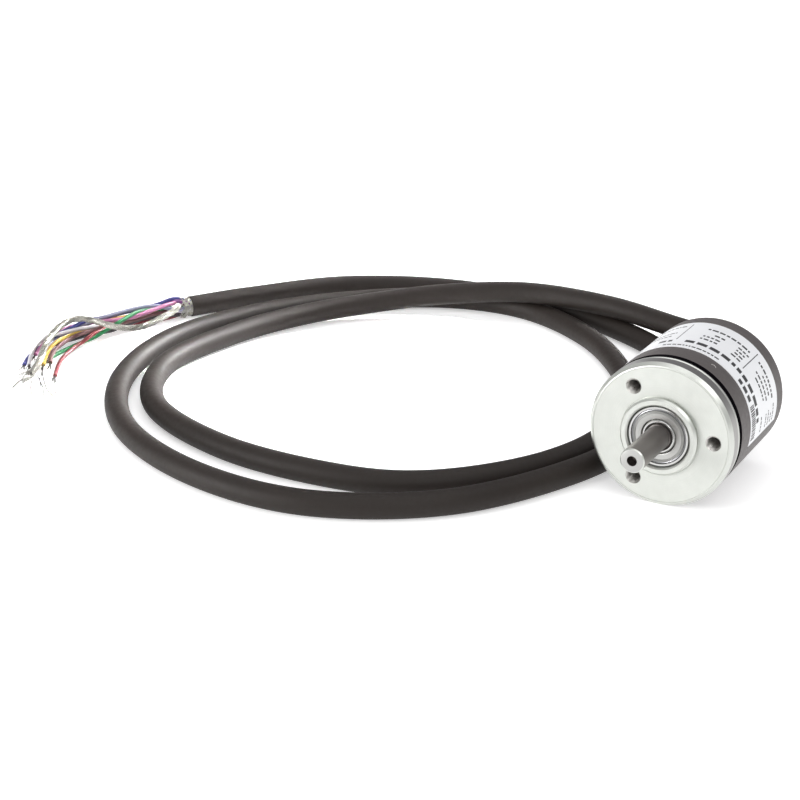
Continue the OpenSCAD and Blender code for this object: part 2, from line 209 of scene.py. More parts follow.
# After the name: colour, roughness, metal, spread of the colour, grain, relief, kind of lines,
# their scale and their relief
MATERIALS = {
    "turned_alloy": finish_of("turned_alloy", ALLOY, 0.46, 0.7, 0.07, 2600.0, 0.004, "face", 7000.0, 0.002),
    "rim_alloy": finish_of("rim_alloy", ALLOY, 0.3, 0.95, 0.03, 2600.0, 0.0, rough_spread=0.02),
    # Darker copy of the flange alloy for the rim's side: painted shade
    "rim_alloy_painted_shade": finish_of("rim_alloy_painted_shade", (0.33, 0.325, 0.315), 0.32, 0.95, 0.04, 2600.0, 0.0,
                            rough_spread=0.02),
    # Darker copy of the alloy for the thread flanks: painted shade inside the holes
    "thread_alloy_painted_shade": finish_of("thread_alloy_painted_shade", (0.46, 0.45, 0.43), 0.34, 0.95, 0.12, 1500.0, 0.001),
    "dark_anodised": finish_of("dark_anodised", (0.115, 0.103, 0.1), 0.5, 0.25, 0.07, 1300.0, 0.003,
                               "side", 4500.0, 0.0015),
    "seal_rubber": finish_of("seal_rubber", (0.004, 0.003, 0.005), 0.75, 0.0, 0.2, 900.0, 0.01, ior=1.2),
    "label_film": finish_of("label_film", (0.86, 0.87, 0.885), 0.38, 0.0, 0.02, 500.0, 0.003, coat=0.15),
    "ground_steel": finish_of("ground_steel", (0.25, 0.23, 0.222), 0.36, 1.0, 0.03, 2600.0, 0.0,
                              "side", 6000.0, 0.0006, rough_spread=0.02),
    "bearing_steel": finish_of("bearing_steel", (0.54, 0.54, 0.53), 0.24, 1.0, 0.04, 2000.0, 0.0,
                               "face", 9000.0, 0.001, rough_spread=0.03),
    "ball_steel": finish_of("ball_steel", (0.82, 0.83, 0.84), 0.08, 1.0, 0.04, 900.0, 0.0005,
                            rough_spread=0.03),
    "cage_plastic": finish_of("cage_plastic", (0.78, 0.7, 0.52), 0.5, 0.0, 0.08, 800.0, 0.01),
    "shield_steel": finish_of("shield_steel", (0.44, 0.44, 0.425), 0.4, 0.9, 0.07, 1600.0, 0.003,
                              "face", 6000.0, 0.003),
    "spring_steel": finish_of("spring_steel", (0.3, 0.3, 0.31), 0.35, 1.0, 0.12, 900.0, 0.004),
    "hub_alloy": finish_of("hub_alloy", (0.62, 0.63, 0.64), 0.35, 1.0, 0.07, 1000.0, 0.003,
                           "side", 5000.0, 0.004),
    "black_steel": finish_of("black_steel", (0.05, 0.05, 0.055), 0.4, 0.7, 0.15, 900.0, 0.003),
    "disc_glass": disc_finish(),
    "black_plastic": finish_of("black_plastic", (0.022, 0.022, 0.024), 0.45, 0.0, 0.15, 1400.0, 0.012),
    "led_resin": clear_finish("led_resin", (0.82, 0.74, 0.77), 0.6),
    "lens_glass": clear_finish("lens_glass", (0.85, 0.9, 0.92), 0.35),
    "nickel": finish_of("nickel", (0.66, 0.64, 0.6), 0.28, 1.0, 0.07, 900.0, 0.003),
    "board_green": board_finish(),
    "capacitor_case": finish_of("capacitor_case", (0.6, 0.42, 0.2), 0.45, 0.0, 0.1, 900.0, 0.008),
    "brass_plain": finish_of("brass_plain", (0.72, 0.53, 0.25), 0.28, 1.0, 0.08, 900.0, 0.003,
                             "side", 5000.0, 0.004),
    "ivory_plastic": finish_of("ivory_plastic", (0.8, 0.77, 0.67), 0.45, 0.0, 0.05, 900.0, 0.008),
    "gland_rubber": finish_of("gland_rubber", (0.02, 0.019, 0.02), 0.55, 0.0, 0.2, 1200.0, 0.015),
    "jacket_pvc": finish_of("jacket_pvc", (0.0155, 0.0112, 0.009), 0.6, 0.0, 0.1, 1100.0, 0.012,
                            wash=(0.02, 0.0155, 0.013), rough_spread=0.05, ior=1.37),
    "tinned_braid": finish_of("tinned_braid", (0.44, 0.43, 0.39), 0.36, 0.85, 0.3, 1500.0, 0.002),
    "bare_wire": finish_of("bare_wire", (0.085, 0.078, 0.07), 0.45, 0.6, 0.15, 1500.0, 0.001),
    "mark_ink": finish_of("mark_ink", (0.03, 0.03, 0.032), 0.5, 0.0, 0.2, 1500.0, 0.002),
    "core_insulation": finish_of("core_insulation", (0.35, 0.3, 0.45), 0.36, 0.0, 0.12, 900.0, 0.006),
    "pale_ink": finish_of("pale_ink", (0.6, 0.58, 0.55), 0.5, 0.0, 0.1, 1500.0, 0.002),
}
CORE_COLOURS = {
    "dark_blue": (0.055, 0.06, 0.22),
    "violet": (0.24, 0.10, 0.27),
    "pink": (0.44, 0.17, 0.31),
    "grey": (0.27, 0.27, 0.37),
    "brown": (0.13, 0.06, 0.06),
    "yellow": (0.42, 0.28, 0.05),
    "green": (0.014, 0.15, 0.05),
    "red": (0.19, 0.033, 0.038),
    "white": (0.66, 0.64, 0.67),
    "black": (0.05, 0.045, 0.05),
}
for colour, rgb in CORE_COLOURS.items():
    MATERIALS["core_" + colour] = finish_of("core_" + colour, rgb, 0.5, 0.0, 0.12, 900.0, 0.006, ior=1.38)

for entry in frame["record"]["subparts"]:
    data = frame["nodes"][entry["node"]].data
    data.materials.clear()
    data.materials.append(MATERIALS[entry["material_slot"]])
    data.shade_smooth()
    data.set_sharp_from_angle(angle=math.radians(SHARP))


# ---- mesh helpers ----

def piece(name, verts, faces, material, body=BODY, slot=None, sharp=SHARP, merge=False):
    """Mesh object in the row frame from millimetres, riding on a body."""
    mesh = bpy.data.meshes.new(name)
    mesh.from_pydata([tuple(MM * c for c in v) for v in verts], [], faces)
    bm = bmesh.new()
    bm.from_mesh(mesh)
    if merge:
        bmesh.ops.remove_doubles(bm, verts=bm.verts, dist=1e-8)
    bmesh.ops.recalc_face_normals(bm, faces=bm.faces)
    bm.to_mesh(mesh)
    bm.free()
    obj = bpy.data.objects.new(name, mesh)
    bpy.context.scene.collection.objects.link(obj)
    mesh.materials.append(MATERIALS[material])
    mesh.shade_smooth()
    mesh.set_sharp_from_angle(angle=math.radians(sharp))
    if body:
        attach(obj, body)
    return obj


def add_finish(obj, material):
    """Gives the piece one more finish and returns its number on the piece."""
    obj.data.materials.append(MATERIALS[material])
    return len(obj.data.materials) - 1


def lathe(name, profile, material, segments=160, **how):
    """Closed ring turned round the shaft axis from (radius, y) points."""
    n = len(profile)
    verts = []
    for s in range(segments):
        a = math.tau * s / segments
        verts += [(r * math.cos(a), y, r * math.sin(a)) for r, y in profile]
    faces = [
        (s * n + k, s * n + (k + 1) % n, (s + 1) % segments * n + (k + 1) % n, (s + 1) % segments * n + k)
        for s in range(segments) for k in range(n)
    ]
    return piece(name, verts, faces, material, **how)


def smooth(points, steps):
    """Catmull-Rom curve through the points, as numpy rows."""
    p = np.array(points, float)
    p = np.vstack([2 * p[0] - p[1], p, 2 * p[-1] - p[-2]])
    out = []
    for i in range(1, len(p) - 2):
        a, b, c, d = p[i - 1:i + 3]
        for j in range(steps):
            t = j / steps
            out.append(0.5 * (2 * b + (c - a) * t + (2 * a - 5 * b + 4 * c - d) * t ** 2
                              + (3 * b - a - 3 * c + d) * t ** 3))
    return np.array(out + [p[-2]])


def resample(path, step):
    """Points at equal distances along a path."""
    along = np.concatenate([[0], np.cumsum(np.linalg.norm(np.diff(path, axis=0), axis=1))])
    count = max(2, int(round(along[-1] / step)) + 1)
    want = np.linspace(0, along[-1], count)
    return np.stack([np.interp(want, along, path[:, k]) for k in range(3)], 1)


def frames_along(path):
    """Tangent, side and up at each point, turned as little as possible."""
    tangent = np.gradient(path, axis=0)
    tangent /= np.linalg.norm(tangent, axis=1)[:, None]
    side = np.cross(tangent[0], (0, 0, 1.0))
    sides = []
    for t in tangent:
        side = side - t * np.dot(side, t)
        side /= np.linalg.norm(side)
        sides.append(side)
    sides = np.array(sides)
    return tangent, sides, np.cross(sides, tangent)


def tube_faces(rings, sides, base=0):
    """Faces of a closed tube whose points are numbered ring by ring from base."""
    faces = [
        (base + i * sides + k, base + i * sides + (k + 1) % sides,
         base + (i + 1) * sides + (k + 1) % sides, base + (i + 1) * sides + k)
        for i in range(rings - 1) for k in range(sides)
    ]
    faces.append(tuple(base + k for k in reversed(range(sides))))
    faces.append(tuple(base + (rings - 1) * sides + k for k in range(sides)))
    return faces


def ring_at(centre, side, up, radius, sides):
    """Points of one ring round a path."""
    turn = np.arange(sides) * math.tau / sides
    return centre + radius * (np.cos(turn)[:, None] * side + np.sin(turn)[:, None] * up)


def tubes(name, paths, material, sides=6, **how):
    """One mesh of several tubes; each path is (points, radius or radii)."""
    verts, faces = [], []
    for path, radius in paths:
        radii = np.broadcast_to(radius, len(path))
        _, side, up = frames_along(path)
        faces += tube_faces(len(path), sides, len(verts))
        for i, centre in enumerate(path):
            verts += [tuple(v) for v in ring_at(centre, side[i], up[i], radii[i], sides)]
    return piece(name, verts, faces, material, **how)


# ---- camera, floor and light ----

def look(position, right, up):
    """Camera's place and turn, from its position and its right and up directions."""
    right, up = Vector(right).normalized(), Vector(up).normalized()
    back = right.cross(up).normalized()
    up = back.cross(right)
    turn = Matrix((right, up, back)).transposed().to_4x4()
    return Matrix.Translation(Vector(position)) @ turn


CAMERA_PLACE = (0.1117, -0.3090, 0.1351)
CAMERA_RIGHT = (0.8764, 0.4815, 0.0)
CAMERA_UP = (-0.1762, 0.3207, 0.9306)

camera = bpy.data.objects.new("camera", bpy.data.cameras.new("camera"))
camera.data.sensor_width = 36.0
camera.data.lens = 80.7
camera.data.clip_start = 0.01
camera.matrix_world = look(CAMERA_PLACE, CAMERA_RIGHT, CAMERA_UP)
bpy.context.scene.collection.objects.link(camera)
bpy.context.scene.camera = camera
bpy.context.scene.view_settings.view_transform = "Standard"


def build_floor():
    """Pale paper under the object."""
    g = Graph("floor_paper")
    cloud = g.noise(25.0, 3.0)
    g.feed(g.shader.inputs["Base Color"], g.mix(cloud, (0.87, 0.87, 0.87, 1), (0.9, 0.9, 0.9, 1)))
    g.shader.inputs["Roughness"].default_value = 0.7
    g.shader.inputs["Specular IOR Level"].default_value = 0.2
    g.shader.inputs["Emission Color"].default_value = (1.0, 1.0, 1.0, 1)
    g.shader.inputs["Emission Strength"].default_value = 0.45
    MATERIALS["floor_paper"] = g.material
    half = FLOOR_HALF
    corners = [(x, y, FLOOR) for x, y in ((-half, -half), (half, -half), (half, half), (-half, half))]
    floor = piece("floor", corners, [(0, 1, 2, 3)], "floor_paper", body=None)


def build_world():
    """Pale room that is darker behind and above the object, as a backdrop is."""
    world = bpy.data.worlds.new("room")
    bpy.context.scene.world = world
    world.use_nodes = True
    tree = world.node_tree
    new = tree.nodes.new
    way = new("ShaderNodeSeparateXYZ")
    tree.links.new(new("ShaderNodeTexCoord").outputs["Generated"], way.inputs[0])
    rear = new("ShaderNodeMapRange")
    high = new("ShaderNodeMapRange")
    for n, axis, low, top in ((rear, 1, -0.3, 0.4), (high, 2, 0.04, 0.3)):
        tree.links.new(way.outputs[axis], n.inputs[0])
        n.inputs[1].default_value = low
        n.inputs[2].default_value = top
    both = new("ShaderNodeMath")
    both.operation = "MULTIPLY"
    tree.links.new(rear.outputs[0], both.inputs[0])
    tree.links.new(high.outputs[0], both.inputs[1])
    mix = new("ShaderNodeMix")
    mix.data_type = "RGBA"
    tree.links.new(both.outputs[0], mix.inputs[0])
    mix.inputs[6].default_value = (1.0, 1.0, 1.0, 1)
    mix.inputs[7].default_value = (0.52, 0.51, 0.54, 1)
    tree.links.new(mix.outputs[2], tree.nodes["Background"].inputs[0])
    tree.nodes["Background"].inputs[1].default_value = 0.65


def build_light(name, place, aim, size, power, spread=180.0):
    """Square soft light that faces its aim; spread is the width of its beam in degrees."""
    data = bpy.data.lights.new(name, "AREA")
    data.shape = "SQUARE"
    data.size = size
    data.energy = power
    data.spread = math.radians(spread)
    light = bpy.data.objects.new(name, data)
    light.location = place
    light.rotation_euler = (Vector(aim) - Vector(place)).to_track_quat("-Z", "Y").to_euler()
    bpy.context.scene.collection.objects.link(light)


build_floor()
build_world()
TARGET = (-0.06, 0.03, 0.0)
build_light("key", (-0.75, -0.75, 0.25), TARGET, 0.4, 7.5)
build_light("top", (0.0, 0.1, 1.3), TARGET, 1.4, 7.0)
build_light("front", (0.5, -0.55, 0.6), (0, 0, 0), 0.5, 1.8)
build_light("rim", (0.05, 0.42, 0.246), (-0.118, 0.012, -0.012), 0.1, 0.14, 11.0)


# ---- lead ----

CABLE_R = 2.65
LAY = FLOOR + CABLE_R
OVER = LAY + 2 * CABLE_R
CABLE_ROUTE = [
    (0, 43, 0), (-1, 54, -1.5), (-10, 71, -5), (-27, 82, OVER), (-47, 89, OVER),
    (-69, 89.5, OVER), (-88, 84, -8.6), (-105, 74, -10.7), (-119, 58.5, -12), (-127, 38, LAY),
    (-128.5, 13, LAY), (-115, -9.5, LAY), (-88, -22, LAY), (-60, -23.5, LAY), (-42, -17.5, LAY),
    (-27, -0.5, LAY), (-20.5, 20, LAY), (-23, 43, LAY), (-34, 63, LAY), (-50.5, 80.5, LAY),
    (-72, 91.5, LAY), (-94, 89.5, LAY), (-114, 75.5, LAY), (-130, 55, LAY), (-138, 29, LAY),
    (-132, 1, LAY), (-114, -22.5, LAY), (-87, -36, LAY), (-59, -37.5, LAY), (-34, -23.5, LAY),
    (-18.5, 2.5, LAY), (-13.5, 28, LAY), (-14.5, 51, LAY), (-24, 73, LAY), (-45, 88.5, LAY),
    (-70, 97, LAY), (-97, 97, LAY), (-122, 86, LAY), (-139, 66, LAY), (-148.5, 51.5, LAY),
]
CABLE_SIDES = 32
CABLE_CURVE_STEPS = 12
CABLE_STEP = 2.0
WALL_R = 2.3

centreline = resample(smooth(CABLE_ROUTE, CABLE_CURVE_STEPS), CABLE_STEP)


def build_jacket():
    """Jacket as one tube whose cut end is open and shows its wall."""
    _, side, up = frames_along(centreline)
    rings = [(centreline[i], side[i], up[i], CABLE_R) for i in range(len(centreline) - 1)]
    end, back = centreline[-1], centreline[-2]
    for share, radius in ((0.95, CABLE_R), (1.0, CABLE_R - 0.08), (1.0, WALL_R), (0.1, WALL_R)):
        rings.append((back + share * (end - back), side[-1], up[-1], radius))
    verts = []
    for centre, s, u, radius in rings:
        verts += [tuple(v) for v in ring_at(centre, s, u, radius, CABLE_SIDES)]
    return piece("lead_jacket", verts, tube_faces(len(rings), CABLE_SIDES), "jacket_pvc", sharp=40)


jacket = build_jacket()
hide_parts("cable_jacket")

CORE_R = 0.5
TAIL_R = 0.85
END = centreline[-1]
END_WAY = (centreline[-1] - centreline[-3]) / np.linalg.norm(centreline[-1] - centreline[-3])
END_SIDE = np.cross(END_WAY, (0, 0, 1.0))
CORE_ROUTES = {
    "dark_blue": [
        (-155.5, 43, -11.0), (-157, 38.5, -11.2), (-159, 35, -11.3), (-161, 30.5, -11.4),
        (-162.5, 26.5, -11.9), (-163.5, 23, -12.3), (-165, 20, -12.7), (-165.5, 15.5, -13.1),
        (-165, 10, -13.5), (-163.5, 5, -13.9), (-161, 0.5, -14.2),
    ],
    "violet": [
        (-157, 44, -11.4), (-158, 40.5, -11.2), (-159.5, 36.5, -11.4), (-161, 32, -11.9),
        (-162, 27.5, -12.5), (-162.5, 23.5, -13), (-162, 19, -13.4), (-161.5, 15.5, -13.7),
        (-161, 11.5, -14), (-159.5, 7, -14.2),
    ],
    "pink": [
        (-152.5, 39, -10.6), (-153, 35, -10.8), (-155, 32, -11.1), (-158, 29.5, -11.5),
        (-161.5, 28, -11.8), (-164.5, 26, -12), (-165.5, 23.5, -12.2), (-166, 20, -12.5),
        (-166, 16.5, -12.9), (-164.5, 11, -13.4), (-162.5, 6.5, -13.8),
    ],
    "grey": [
        (-155, 41, -10.3), (-156.5, 36, -10.1), (-158.5, 32, -10.5), (-161, 29, -11.2),
        (-162.5, 26, -12), (-164, 24.5, -12.5), (-165.5, 22, -12.8), (-165, 17, -13.2),
        (-164, 13, -13.5),
    ],
    "brown": [
        (-153, 42, -12.2), (-154, 37.5, -12.4), (-155, 34, -12.2), (-155.5, 30.5, -12.2),
        (-157.5, 28, -12.4), (-160, 26.5, -12.5), (-160.5, 23, -12.6), (-160.5, 20, -12.5),
        (-160.5, 16, -12.6), (-159.5, 11, -12.8), (-158, 6.5, -13.1), (-155, 3, -13.4),
    ],
    "yellow": [
        (-154, 42, -13), (-156, 39.5, -12.4), (-158.5, 35.5, -12.1), (-160, 32, -12.3),
        (-161, 28, -12.6), (-161.5, 24.5, -12.8), (-161.5, 20, -12.6), (-162, 16.5, -12.4),
        (-161.5, 12, -12.4), (-159, 6.5, -12.7), (-155.5, 1, -13.4),
    ],
    "green": [
        (-154, 41.5, -11), (-154, 37.5, -10.2), (-153.5, 32.5, -10.2), (-154, 29, -10.8),
        (-155.5, 25, -12), (-157, 22, -13.2), (-158.5, 19, -13.8), (-159, 14.5, -14.2),
        (-160, 11, -14.3), (-159, 7.5, -14.4),
    ],
    "red": [
        (-155.5, 39.5, -13.8), (-157, 34.5, -13.4), (-157.5, 29.5, -12.6), (-157, 24, -12.2),
        (-157, 21.5, -12.4), (-156.5, 18.5, -12.9), (-157, 15, -13.3), (-156.5, 10.5, -13.7),
        (-154.5, 5.5, -14), (-150, -1.5, -14.3),
    ],
    "white": [
        (-158.5, 43, -13.5), (-159, 36, -13), (-158.5, 29.5, -12.5), (-158.5, 25.5, -12.2),
        (-160, 23.5, -12), (-162, 22, -12.1), (-163.5, 19, -12.3), (-165, 16.5, -12.6),
        (-166, 14, -12.8), (-165, 9, -13.1), (-162, 4, -13.5), (-159.5, 0.5, -13.9),
    ],
    "black": [
        (-155, 41.5, -13.4), (-155, 37, -13.3), (-156, 33.5, -13.2), (-157, 29, -13.3),
        (-159, 25.5, -13.4), (-161, 22.5, -13.5), (-162.5, 20, -13.6), (-164.5, 17.5, -13.7),
        (-164.5, 15, -13.9),
    ],
}
TAIL_ROUTE = [
    (-147.5, 45, -11), (-146, 38.5, -10.2), (-145, 33.5, -9.9), (-144.5, 28.5, -9.8), (-145, 25, -9.8),
    (-146.5, 23, -9.8), (-149, 22.5, -9.7), (-152.5, 22.5, -9.4), (-157, 23.5, -9.3),
    (-161, 24.5, -9.5), (-164.5, 25, -9.9), (-165, 21.5, -10.1), (-164, 16.5, -10.4), (-162, 12, -10.8),
    (-160, 7, -11.2), (-157, 2.5, -11.7), (-154.5, -2, -12.4), (-153.5, -6, -13), (-153, -9, -13.6),
]
ROOT_TURN = {"brown": 0, "pink": 40, "dark_blue": 80, "violet": 120, "grey": 160, "white": 200, "black": 240,
             "red": 280, "yellow": 320}
ROOT_R = 1.4


def root_offset(colour):
    """Place of a core in the cut face, from the middle of the lead."""
    if colour not in ROOT_TURN:
        return np.zeros(3)
    a = math.radians(ROOT_TURN[colour])
    return ROOT_R * (math.cos(a) * END_SIDE + math.sin(a) * np.array((0, 0, 1.0)))


HELD = 4


def settle(paths, radii, rounds=70):
    """Pushes paths apart where they cross, keeping them above the floor and smooth.

    The first HELD points of each path stay in place.
    """
    owner = np.concatenate([[k] * len(p) for k, p in enumerate(paths)])
    place = np.concatenate(paths)
    reach = np.concatenate([[r] * len(p) for r, p in zip(radii, paths)])
    fixed = np.concatenate([np.arange(len(p)) < HELD for p in paths])
    starts = np.cumsum([0] + [len(p) for p in paths])
    for _ in range(rounds):
        gap = place[:, None] - place[None]
        distance = np.linalg.norm(gap, axis=2) + 1e-9
        want = reach[:, None] + reach[None]
        close = (distance < want) & (owner[:, None] != owner[None])
        push = np.where(close, (want - distance) / distance, 0.0)[:, :, None] * gap
        count = np.maximum(close.sum(1), 1)[:, None]
        move = 0.5 * push.sum(1) / count
        move[fixed] = 0
        place = place + move
        for a, b in zip(starts[:-1], starts[1:]):
            middle = 0.5 * (place[a:b - 2] + place[a + 2:b])
            line = place[a + 1:b - 1]
            keep = fixed[a + 1:b - 1][:, None]
            place[a + 1:b - 1] = np.where(keep, line, 0.7 * line + 0.3 * middle)
        place[:, 2] = np.maximum(place[:, 2], FLOOR + reach)
    return [place[a:b] for a, b in zip(starts[:-1], starts[1:])]


CORE_CURVE_STEPS = 8
CORE_STEP = 0.8
TAIL_STEP = 0.5
names = list(CORE_ROUTES)
raw = []
for colour in names:
    offset = root_offset(colour)
    root = [END - 1.6 * END_WAY + offset, END + 1.6 * END_WAY + offset]
    raw.append(resample(smooth(root + CORE_ROUTES[colour], CORE_CURVE_STEPS), CORE_STEP))
tail_root = [
    END + 0.4 * END_WAY + 1.9 * END_SIDE + (0, 0, 0.4),
    END + 2.6 * END_WAY + 2.3 * END_SIDE + (0, 0, 0.6),
]
raw.append(resample(smooth(tail_root + TAIL_ROUTE, CORE_CURVE_STEPS), CORE_STEP))
settled = settle(raw, [CORE_R] * len(names) + [TAIL_R])
core_paths = dict(zip(names, settled))
tail_path = resample(settled[-1], TAIL_STEP)


def core_radii(path):
    """A little rounding where the insulation is cut."""
    radii = np.full(len(path), CORE_R)
    radii[-1] = CORE_R * 0.82
    return radii


for colour in names:
    path = core_paths[colour]
    path = np.vstack([path[:-1], path[-2] + 0.9 * (path[-1] - path[-2]), path[-1]])
    tubes("core_" + colour, [(path, core_radii(path))], "core_" + colour, sides=12,
                       slot="core_insulation")
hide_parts("core_bundle")

dice = random.Random(11)


def loose(low, high):
    """Random value from the one seeded source."""
    return dice.uniform(low, high)


def braid(name, path, radius, flat, carriers, pitch, wires, wire_r, fray, reach):
    """Plain weave round a path: each wire follows its carrier over and under the others.

    flat presses the weave down, and the last fray millimetres spread out by up to reach.
    """
    _, side, up = frames_along(path)
    step = np.linalg.norm(np.diff(path, axis=0), axis=1)
    along = np.concatenate([[0], np.cumsum(step)])
    crumple = 1 + 0.07 * np.sin(along * 1.9) + 0.05 * np.sin(along * 3.7 + 1)
    paths = []
    for way in (1, -1):
        for k in range(carriers):
            for w in range(wires):
                spread = (w - (wires - 1) / 2) * 2.1 * wire_r / radius
                turn = way * math.tau * along / pitch + math.tau * k / carriers + spread
                lift = 1.15 * wire_r * way * np.cos(math.tau * carriers * along / pitch)
                r = (radius * crumple + lift)[:, None]
                line = path + r * (np.cos(turn)[:, None] * side + flat * np.sin(turn)[:, None] * up)
                free = np.clip((along - along[-1] + fray) / fray, 0, None)[:, None] if fray else 0
                if fray:
                    throw = np.array((loose(-1, 1), loose(-1, 1), loose(-0.5, 0.8)))
                    line = line + reach * free ** 1.6 * throw
                line[:, 2] = np.maximum(line[:, 2], FLOOR + wire_r)
                cut = len(line) - (dice.randrange(0, max(1, int(fray / 1.2))) if fray else 0)
                paths.append((line[:cut], wire_r))
    return tubes(name, paths, "tinned_braid", sides=4, sharp=80)


collar_path = resample(np.array([END - 1.2 * END_WAY, END + 2.6 * END_WAY]), 0.25)
collar = braid("screen_collar_braid", collar_path, radius=2.25, flat=1.0, carriers=9, pitch=9.0,
               wires=4, wire_r=0.09, fray=1.8, reach=0.9)
tail = braid("screen_tail_braid", tail_path, radius=0.74, flat=0.8, carriers=8, pitch=7.0,
             wires=2, wire_r=0.09, fray=5.5, reach=1.8)
# Black tube inside the tail's braid: painted shade, a dark filler that shows through the gaps between the
# wires
tail_shade_filler = tubes("screen_tail_shade_filler", [(tail_path[:-6], 0.52)], "core_black", sides=8, slot="tinned_braid")
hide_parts("screen_collar")
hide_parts("screen_pigtail")

LONG_STRANDS = [
    [(-153.5, -8, -13.4), (-154.5, -9, -14), (-154.5, -11.5, -14.7)],
    [(-151.5, -8, -13.4), (-149.5, -11, -14), (-147.5, -13, -14.7)],
    [(-155.5, 1, -13.4), (-152, -4, -13.6), (-150.5, -6.5, -13.8), (-147.5, -9, -14.2), (-145, -12, -14.7)],
    [(-155.5, 1, -13.5), (-152.5, -3, -13.7), (-146.5, -9, -14.2), (-142.5, -11.5, -14.7)],
    [(-150, -1.5, -14.3), (-147, -5.5, -14.4), (-144.5, -8.5, -14.6), (-141.5, -11, -14.8)],
    [(-152.5, -5, -13.4), (-150.5, -6.5, -13.8), (-148.5, -8.5, -14.4)],
]
STRAND_R = 0.13
STRANDS_PER_CORE = 6


def build_strands():
    """Bare wires that show past the cut insulation of each core."""
    paths = [(smooth(route, 6), STRAND_R) for route in LONG_STRANDS]
    for colour in names:
        path = core_paths[colour]
        end, way = path[-1], path[-1] - path[-3]
        way = way / np.linalg.norm(way)
        for _ in range(STRANDS_PER_CORE):
            aim = way * loose(1.4, 2.6) + np.array((loose(-0.6, 0.6), loose(-0.6, 0.6), loose(-0.5, 0.2)))
            start = end - 0.6 * way + 0.22 * np.array((loose(-1, 1), loose(-1, 1), loose(-1, 1)))
            line = smooth([start, end + 0.4 * aim, end + aim], 4)
            line[:, 2] = np.maximum(line[:, 2], FLOOR + STRAND_R)
            paths.append((line, STRAND_R))
    return tubes("bare_strands", paths, "bare_wire", sides=5, slot="tinned_braid", sharp=80)


strands = build_strands()


# ---- flange, with its tapped holes ----

FLANGE_PROFILE = [
    (6.5, 3.2), (6.5, -1.02), (6.78, -1.3), (7.6, -1.3), (8.0, -0.9), (8.0, -0.1), (7.94, 0.08), (8.16, 0.1),
    (8.22, 0.0), (13.96, 0.0), (14.02, 0.09), (14.1, 0.09), (14.13, 0.02), (14.36, 0.1), (15.0, 0.75),
    (15.0, 3.05), (14.8, 3.14), (14.8, 3.3), (15.0, 3.6), (15.0, 3.78), (14.88, 3.9),
    (13.3, 3.9), (13.3, 8.0), (7.7, 8.0), (7.7, 15.2), (6.5, 15.2), (6.5, 10.4), (5.9, 10.4), (5.9, 3.2),
]
HOLE_R = 1.5
HOLE_PITCH_R = 11.0
HOLE_TURN = 2.5
THREAD_PITCH = 0.5
THREAD_DEPTH = 0.2
THREAD_START = 0.16
THREAD_LENGTH = 5.6
COUNTERSINK_R = 1.62


def thread_cutter(turn):
    """Solid that cuts a tapped hole: thread flanks, a small countersink and a drilled cone."""
    sides, per_turn = 40, 8
    rows = int(THREAD_LENGTH / THREAD_PITCH * per_turn)
    a = math.radians(turn)
    middle = np.array((HOLE_PITCH_R * math.cos(a), 0, HOLE_PITCH_R * math.sin(a)))
    verts, rings = [], [(-0.6, COUNTERSINK_R), (0.0, COUNTERSINK_R)]
    for row in range(rows + 1):
        rings.append((THREAD_START + row * THREAD_PITCH / per_turn, None))
    rings += [(5.85, 1.2), (6.0, 0.3)]
    for y, radius in rings:
        for k in range(sides):
            b = math.tau * k / sides
            r = radius
            if r is None:
                phase = (y / THREAD_PITCH - k / sides) % 1
                r = HOLE_R - THREAD_DEPTH * min(1.0, max(0.0, 2.4 * abs(phase - 0.5) - 0.1))
            verts.append(middle + np.array((r * math.cos(b), y, r * math.sin(b))))
    return piece("cutter_%d" % turn, [tuple(v) for v in verts], tube_faces(len(rings), sides),
                 "turned_alloy", body=None)


def cut(obj, cutters):
    """Subtracts the cutters from obj and removes them."""
    for cutter in cutters:
        m = obj.modifiers.new("cut", "BOOLEAN")
        m.operation, m.solver, m.object = "DIFFERENCE", "EXACT", cutter
    bpy.context.view_layer.update()
    graph = bpy.context.evaluated_depsgraph_get()
    done = bpy.data.meshes.new_from_object(obj.evaluated_get(graph))
    obj.modifiers.clear()
    obj.data = done
    for cutter in cutters:
        bpy.data.objects.remove(cutter)
    done.set_sharp_from_angle(angle=math.radians(24))


flange = lathe("flange_turned", FLANGE_PROFILE, "turned_alloy", segments=192)
cut(flange, [thread_cutter(HOLE_TURN + 120 * i) for i in range(3)])
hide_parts("flange")

# The edges of the rim and the collar differ in finish. The threads and the side of the rim get darker copies
# of the alloy: painted shade inside the holes and on the rim's side.
flange_edge, flange_thread_painted_shade, flange_side_painted_shade = [
    add_finish(flange, name) for name in ("rim_alloy", "thread_alloy_painted_shade", "rim_alloy_painted_shade")
]
for face in flange.data.polygons:
    middle = face.center / MM
    reach = math.hypot(middle.x, middle.z)
    if reach > 14.9 and 0.8 < middle.y < 3.0:
        face.material_index = flange_side_painted_shade
    elif abs(face.normal.y) < 0.8 and (reach > 14.0 or (6.3 < reach < 8.2 and middle.y < 0)):
        face.material_index = flange_edge
    elif 9.0 < reach < 13.0 and 0.02 < middle.y < 7.0:
        face.material_index = flange_thread_painted_shade

# The front edge of the housing is dark, as the gap behind the rim is
housing = frame["nodes"]["housing"]
housing_edge = add_finish(housing, "seal_rubber")
for face in housing.data.polygons:
    if face.normal.y < -0.9 and face.center.y < 6.0 * MM:
        face.material_index = housing_edge


# ---- bearing faces ----

FRONT_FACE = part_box("front_outer_ring")[0].y / MM
BEARING_WIDTH = 4.0


def at_face(profile, rear=False):
    """Profile points measured inwards from a bearing's front or rear face."""
    return [(r, FRONT_FACE + (BEARING_WIDTH - y if rear else y)) for r, y in profile]


